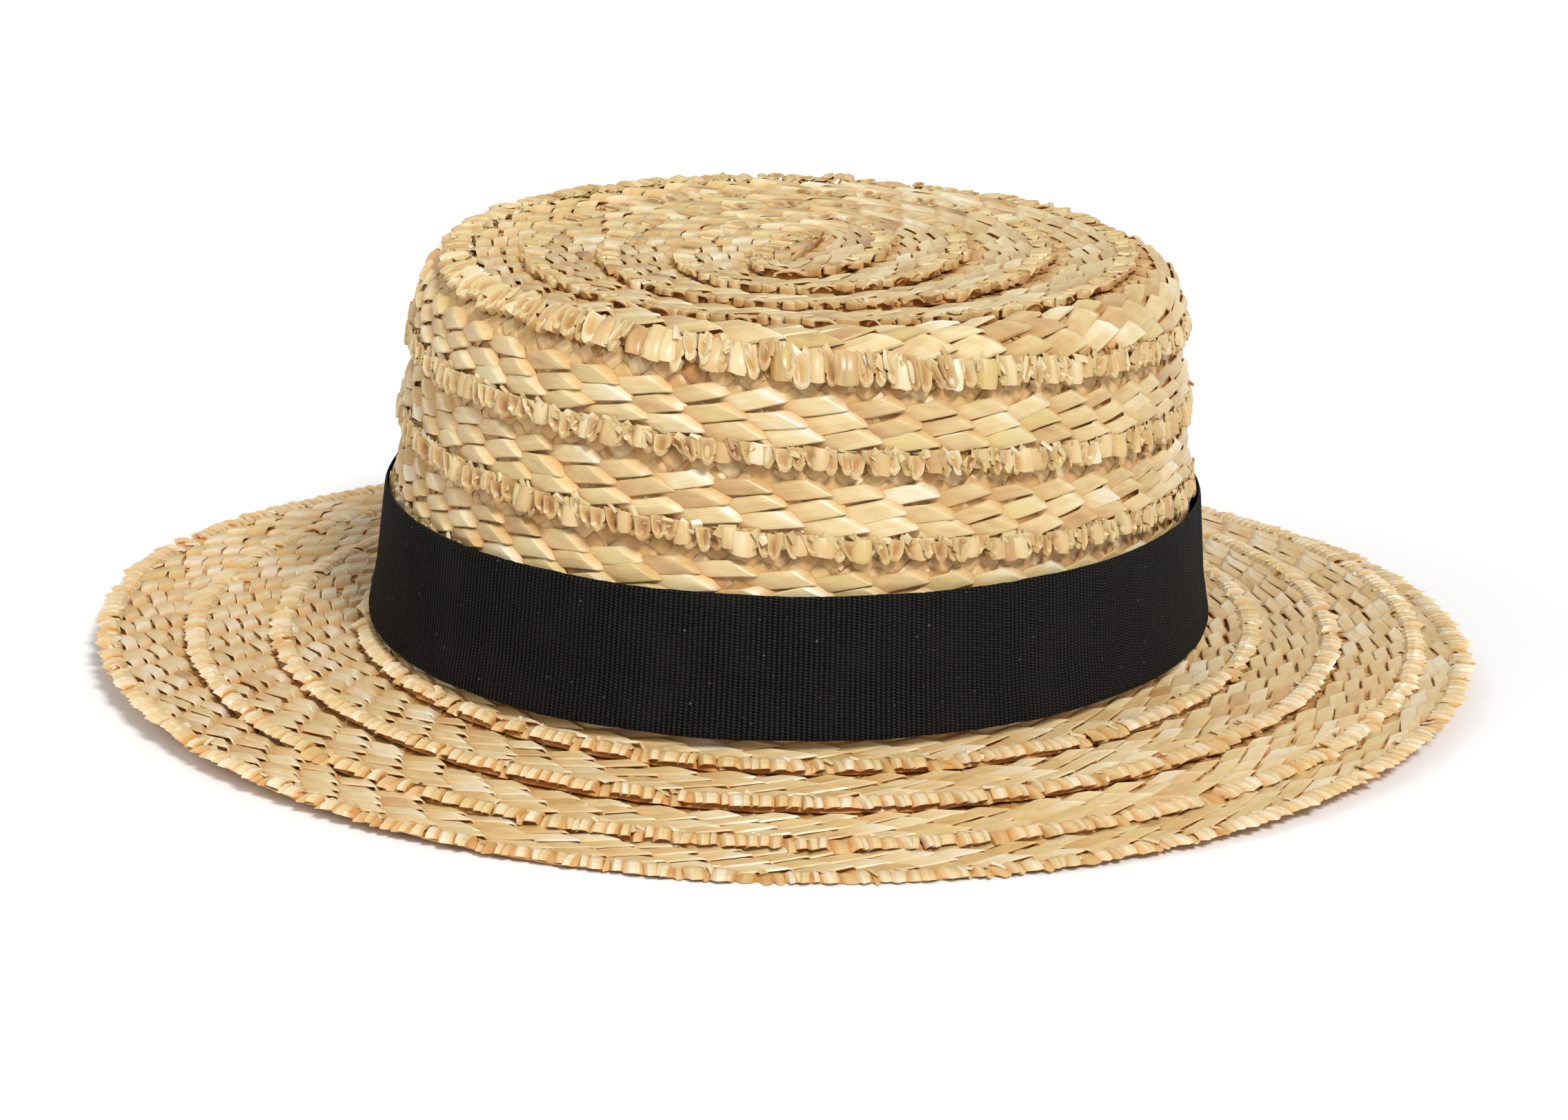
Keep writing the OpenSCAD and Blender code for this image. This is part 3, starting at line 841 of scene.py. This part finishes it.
def make_hatband_tacks(material):
    half_lap = RIBBON_LAP_WIDTH / 2 / CROWN_HALF_WIDTH
    heights = HATBAND_BOTTOM + np.array([HATBAND_HEIGHT / 2, HATBAND_HEIGHT - TACK_INSET])
    z = np.repeat(np.concatenate([heights, heights + TACK_SPACING]), 2)
    angles = BACK_ANGLE + np.tile([-half_lap / 2, half_lap / 2], len(z) // 2)
    out = (HATBAND_GAP + 2 * RIBBON_THICKNESS + LAP_CLEARANCE + STITCH_RADIUS
           + side_out(z)[:, None])
    make_stitches("hatband_tacks", out, z, angles, TACK_LENGTH, 1, material, "black_thread")


LABEL_WIDTH = 14
LABEL_HEIGHT = 10
LABEL_THICKNESS = 0.34
LABEL_CAD_THICKNESS = 0.4


def make_label(material):
    """A blank woven tape inside the crown, a little bowed, with its ends turned under"""
    low, high = (np.array(corner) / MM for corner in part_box("size_label"))
    a = np.linspace(0, 1, 15)[:, None]
    b = np.linspace(0, 1, 9)[None, :]
    x = low[0] + (high[0] - low[0]) * a
    z = low[2] + (high[2] - low[2]) * b
    lean = (high[1] - low[1] - LABEL_CAD_THICKNESS) * (1 - b)
    bow = 0.35 * np.sin(math.pi * a)
    y = low[1] + lean + bow - 0.12 * np.sin(2 * math.pi * b + 4 * a)
    front = np.stack(np.broadcast_arrays(x, y, z), -1)
    edge_roll = 0.16 * np.clip(1 - np.minimum(np.minimum(a, 1 - a) * 14, 1), 0, 1)
    back = front + np.array([0, 1, 0]) * (LABEL_THICKNESS + edge_roll[..., None])
    mesh = strip_mesh("size_label_tape", front, back)
    add_flat_uv(mesh, front, LABEL_WIDTH, LABEL_HEIGHT, 0)
    shade_smooth(mesh)
    piece = add_piece(mesh, material, "label", "size_label")
    return piece


# Materials

def new_material(name):
    """A material with its node tree, and its shader"""
    material = bpy.data.materials.new(name)
    material.use_nodes = True
    return material, material.node_tree.nodes["Principled BSDF"]


def node(tree, kind, inputs=(), **settings):
    """A shader node with its settings and its inputs, each a value or another node's output"""
    made = tree.nodes.new(kind)
    for key, value in settings.items():
        setattr(made, key, value)
    for key, value in dict(inputs).items():
        if isinstance(value, bpy.types.NodeSocket):
            tree.links.new(value, made.inputs[key])
        else:
            made.inputs[key].default_value = value
    return made


def math_node(tree, operation, first, second=0.0):
    made = node(tree, "ShaderNodeMath", {0: first, 1: second}, operation=operation)
    return made.outputs["Value"]


def ramp(tree, value, stops):
    made = node(tree, "ShaderNodeValToRGB", {"Fac": value})
    elements = made.color_ramp.elements
    while len(elements) < len(stops):
        elements.new(0.5)
    for element, (place, colour) in zip(elements, stops):
        element.position = place
        element.color = (*colour, 1)
    return made.outputs["Color"]


def mix(tree, share, first, second, blend="MIX"):
    made = node(tree, "ShaderNodeMix", data_type="RGBA", blend_type=blend)
    for key, value in ((0, share), (6, first), (7, second)):
        if isinstance(value, bpy.types.NodeSocket):
            tree.links.new(value, made.inputs[key])
        else:
            made.inputs[key].default_value = value
    return made.outputs[2]


def remap(tree, value, low, high, to_low, to_high):
    return node(tree, "ShaderNodeMapRange", {"Value": value, "From Min": low, "From Max": high,
                "To Min": to_low, "To Max": to_high}).outputs["Result"]


STRAW_SHADES = [
    (0.0, (0.15, 0.075, 0.03)), (0.11, (0.34, 0.18, 0.07)), (0.28, (0.52, 0.32, 0.135)),
    (0.5, (0.67, 0.47, 0.22)), (0.72, (0.80, 0.61, 0.33)), (1.0, (0.92, 0.82, 0.62)),
]
# The orange painted into the straw's shade, for the glow of light through it
STRAW_SHADE_GLOW = (0.70, 0.31, 0.07, 1)
STRAW_GREEN = (0.66, 0.53, 0.20, 1)


def straw_material():
    material, shader = new_material("straw")
    tree = material.node_tree
    look = node(tree, "ShaderNodeAttribute", attribute_name="look").outputs["Color"]
    parts = node(tree, "ShaderNodeSeparateColor", {"Color": look}).outputs
    fibre = node(tree, "ShaderNodeUVMap", uv_map="fibre").outputs["UV"]
    stretch = node(tree, "ShaderNodeMapping", {"Vector": fibre, "Scale": (120, 4200, 1)})
    lines = node(tree, "ShaderNodeTexNoise",
                 {"Vector": stretch.outputs["Vector"], "Scale": 1, "Detail": 3}).outputs["Fac"]
    broad = node(tree, "ShaderNodeMapping", {"Vector": fibre, "Scale": (160, 420, 1)})
    patches = node(tree, "ShaderNodeTexNoise",
                   {"Vector": broad.outputs["Vector"], "Scale": 1, "Detail": 2}).outputs["Fac"]
    shade = math_node(tree, "ADD", parts["Red"], remap(tree, patches, 0.3, 0.7, -0.12, 0.12))
    base = ramp(tree, shade, STRAW_SHADES)
    green = remap(tree, parts["Blue"], 0.82, 0.9, 0, 1)
    green = math_node(tree, "MULTIPLY", green, remap(tree, patches, 0.35, 0.65, 0.1, 0.6))
    base = mix(tree, green, base, STRAW_GREEN)
    # Painted shade: orange glow mixed in where the straw lies in shade, by the look's green
    glow_share = remap(tree, parts["Green"], 0, 1, 0, 0.95)
    base = mix(tree, glow_share, base, STRAW_SHADE_GLOW)
    streak = remap(tree, lines, 0.3, 0.7, 0.91, 1.03)
    streaks = node(tree, "ShaderNodeCombineColor", {"Red": streak, "Green": streak, "Blue": streak})
    base = mix(tree, 1.0, base, streaks.outputs["Color"], "MULTIPLY")
    tree.links.new(base, shader.inputs["Base Color"])
    tree.links.new(remap(tree, lines, 0.25, 0.75, 0.26, 0.44), shader.inputs["Roughness"])
    bump = node(tree, "ShaderNodeBump", {"Height": lines, "Strength": 0.3, "Distance": 0.00012})
    tree.links.new(bump.outputs["Normal"], shader.inputs["Normal"])
    shader.inputs["Specular IOR Level"].default_value = 0.6
    shader.inputs["Subsurface Weight"].default_value = 0.25
    shader.inputs["Subsurface Radius"].default_value = (1.0, 0.42, 0.12)
    shader.inputs["Subsurface Scale"].default_value = 0.0015
    return material


TICK_PITCH = 0.55


def ribbon_material(name, groove_shade, ridge):
    """Black grosgrain: each rib is a column of small twisted ticks, with a little dust, painted
    shade in its grooves and a painted highlight on its tops
    """
    material, shader = new_material(name)
    tree = material.node_tree
    fibre = node(tree, "ShaderNodeUVMap", uv_map="fibre").outputs["UV"]
    place = node(tree, "ShaderNodeSeparateXYZ", {"Vector": fibre}).outputs
    rib = math_node(tree, "DIVIDE", place["X"], RIB_PITCH * MM)
    number = math_node(tree, "FLOOR", rib)
    across = math_node(tree, "FRACT", rib)
    phase = node(tree, "ShaderNodeTexWhiteNoise", {"W": number}, noise_dimensions="1D")
    climb = math_node(tree, "DIVIDE", place["Y"], TICK_PITCH * MM)
    climb = math_node(tree, "ADD", climb, phase.outputs["Value"])
    climb = math_node(tree, "ADD", climb, math_node(tree, "MULTIPLY", across, 0.45))
    tick = math_node(tree, "SINE", math_node(tree, "MULTIPLY", climb, 2 * math.pi))
    tick = remap(tree, tick, -0.6, 1, 0.3, 1)
    rounded = math_node(tree, "SINE", math_node(tree, "MULTIPLY", across, math.pi))
    height = math_node(tree, "MULTIPLY", rounded, tick)
    fuzz = node(tree, "ShaderNodeTexNoise", {"Vector": fibre, "Scale": 1800, "Detail": 4})
    fuzz = fuzz.outputs["Fac"]
    broad = node(tree, "ShaderNodeTexNoise", {"Vector": fibre, "Scale": 90, "Detail": 3})
    specks = node(tree, "ShaderNodeTexNoise", {"Vector": fibre, "Scale": 1100, "Detail": 0})
    uneven = remap(tree, fuzz, 0.3, 0.7, 0.5, 1.2)
    # Painted shade and highlight: near black in the grooves, paler on the ribs' tops
    base = ramp(tree, math_node(tree, "MULTIPLY", height, uneven), [(0.1, groove_shade), (0.95, ridge)])
    worn = remap(tree, broad.outputs["Fac"], 0.45, 0.75, 0, 0.25)
    base = mix(tree, worn, base, (0.02, 0.018, 0.016, 1))
    dust = remap(tree, specks.outputs["Fac"], 0.83, 0.87, 0, 0.6)
    base = mix(tree, dust, base, (0.16, 0.15, 0.13, 1))
    tree.links.new(base, shader.inputs["Base Color"])
    tree.links.new(remap(tree, fuzz, 0.3, 0.7, 0.5, 0.8), shader.inputs["Roughness"])
    bump = node(tree, "ShaderNodeBump", {"Height": height, "Strength": 0.8, "Distance": 0.00015})
    tree.links.new(bump.outputs["Normal"], shader.inputs["Normal"])
    shader.inputs["Specular IOR Level"].default_value = 0.05
    return material


def thread_material(name, dark, light):
    """Spun thread: fine slanted strands"""
    material, shader = new_material(name)
    tree = material.node_tree
    fibre = node(tree, "ShaderNodeUVMap", uv_map="fibre").outputs["UV"]
    strands = node(tree, "ShaderNodeTexWave", {"Vector": fibre, "Scale": 260, "Distortion": 2},
                   bands_direction="DIAGONAL").outputs["Fac"]
    tree.links.new(ramp(tree, strands, [(0, dark), (1, light)]), shader.inputs["Base Color"])
    bump = node(tree, "ShaderNodeBump", {"Height": strands, "Strength": 0.5, "Distance": 0.0001})
    tree.links.new(bump.outputs["Normal"], shader.inputs["Normal"])
    shader.inputs["Roughness"].default_value = 0.6
    return material


def label_material():
    """White satin tape with a fine plain weave"""
    material, shader = new_material("label")
    tree = material.node_tree
    fibre = node(tree, "ShaderNodeUVMap", uv_map="fibre").outputs["UV"]
    weft = node(tree, "ShaderNodeTexWave", {"Vector": fibre, "Scale": 900}).outputs["Fac"]
    warp = node(tree, "ShaderNodeTexWave", {"Vector": fibre, "Scale": 700},
                bands_direction="Y").outputs["Fac"]
    weave = math_node(tree, "MULTIPLY", weft, warp)
    shades = [(0, (0.62, 0.6, 0.55)), (1, (0.88, 0.87, 0.83))]
    tree.links.new(ramp(tree, weave, shades), shader.inputs["Base Color"])
    bump = node(tree, "ShaderNodeBump", {"Height": weave, "Strength": 0.5, "Distance": 0.0001})
    tree.links.new(bump.outputs["Normal"], shader.inputs["Normal"])
    shader.inputs["Roughness"].default_value = 0.45
    return material


# The camera, the light and the floor

VIEW_TARGET = Vector((-2.0, 2.5, 16.9)) * MM
VIEW_DISTANCE = 0.854
VIEW_TURN = math.radians(11.4)
VIEW_HEIGHT = math.radians(14.77)
VIEW_ROLL = 0.035
VIEW_LENS = 92.1


def make_camera():
    away = Vector((math.sin(VIEW_TURN) * math.cos(VIEW_HEIGHT),
                   -math.cos(VIEW_TURN) * math.cos(VIEW_HEIGHT), math.sin(VIEW_HEIGHT)))
    level = Vector((math.cos(VIEW_TURN), math.sin(VIEW_TURN), 0))
    upright = away.cross(level)
    right = level * math.cos(VIEW_ROLL) + upright * math.sin(VIEW_ROLL)
    up = away.cross(right)
    turned = Matrix((right, up, away)).transposed().to_4x4()
    turned.translation = VIEW_TARGET + away * VIEW_DISTANCE
    camera = bpy.data.objects.new("camera", bpy.data.cameras.new("camera"))
    camera.data.lens = VIEW_LENS
    camera.data.sensor_width = 36
    camera.data.clip_start = 0.01
    camera.matrix_world = turned
    bpy.context.collection.objects.link(camera)
    bpy.context.scene.camera = camera


def make_sun(name, turn, height, spread, strength):
    """Soft light from far off: turn is to the right of the front, and all angles in degrees"""
    light = bpy.data.lights.new(name, "SUN")
    light.angle = math.radians(spread)
    light.energy = strength
    lamp = bpy.data.objects.new(name, light)
    turn, height = math.radians(turn), math.radians(height)
    towards = Vector((math.sin(turn) * math.cos(height), -math.cos(turn) * math.cos(height),
                      math.sin(height)))
    lamp.rotation_euler = towards.to_track_quat("Z", "Y").to_euler()
    bpy.context.collection.objects.link(lamp)


FLOOR_HALF = 6.0
FLOOR_SHADE = 0.92
STUDIO_LIGHT = 0.45


def make_stage():
    """A plain pale floor"""
    far = FLOOR_HALF
    mesh = bpy.data.meshes.new("floor")
    corners = [(-far, -far, 0), (far, -far, 0), (far, far, 0), (-far, far, 0)]
    mesh.from_pydata(corners, [], [(0, 1, 2, 3)])
    floor = bpy.data.objects.new("floor", mesh)
    material, shader = new_material("floor")
    shader.inputs["Base Color"].default_value = (FLOOR_SHADE, FLOOR_SHADE, FLOOR_SHADE, 1)
    shader.inputs["Roughness"].default_value = 0.9
    mesh.materials.append(material)
    bpy.context.collection.objects.link(floor)


def make_world():
    """Even white light from all round"""
    world = bpy.data.worlds.new("studio")
    world.use_nodes = True
    background = world.node_tree.nodes["Background"]
    background.inputs["Color"].default_value = (1, 1, 1, 1)
    background.inputs["Strength"].default_value = STUDIO_LIGHT
    bpy.context.scene.world = world
    bpy.context.scene.view_settings.view_transform = "Standard"


make_camera()
make_stage()
make_world()
make_sun("key", 38, 46, 16, 2.5)
make_sun("fill", -60, 38, 45, 0.75)

straw = straw_material()
for number, name in enumerate(TURN_NODES, 1):
    make_turn(number, name, straw)

thread = thread_material("thread", (0.5, 0.38, 0.2), (0.8, 0.7, 0.47))
make_seam("tip_seam_thread", 2, FIRST_CROWN_TURN, thread)
make_seam("crown_seam_thread", FIRST_CROWN_TURN, FIRST_BRIM_TURN, thread)
make_seam("brim_seam_thread", FIRST_BRIM_TURN, LAST_TURN, thread)

# Each ribbon's painted shade in its grooves, then the painted highlight on its ribs
ribbon = ribbon_material("hatband", (0.0006, 0.0006, 0.0006), (0.034, 0.033, 0.031))
lining = ribbon_material("sweatband", (0.003, 0.0028, 0.0026), (0.025, 0.024, 0.023))
make_ribbon("hatband", HATBAND_BOTTOM, HATBAND_HEIGHT, HATBAND_GAP, HATBAND_FLARE, 1, ribbon,
            "hatband")
make_ribbon_lap("hatband_lap", HATBAND_BOTTOM, HATBAND_HEIGHT,
                HATBAND_GAP + RIBBON_THICKNESS + LAP_CLEARANCE, HATBAND_FLARE, 1, ribbon,
                "hatband")
make_ribbon("sweatband", SWEATBAND_BOTTOM, SWEATBAND_HEIGHT, SWEATBAND_GAP, 0, -1, lining,
            "sweatband")
make_ribbon_lap("sweatband_lap", SWEATBAND_BOTTOM, SWEATBAND_HEIGHT,
                SWEATBAND_GAP - RIBBON_THICKNESS - LAP_CLEARANCE, 0, -1, lining,
                "sweatband")
make_sweatband_stitches(thread)
make_hatband_tacks(thread_material("black_thread", (0.008, 0.008, 0.009), (0.03, 0.03, 0.032)))
make_label(label_material())
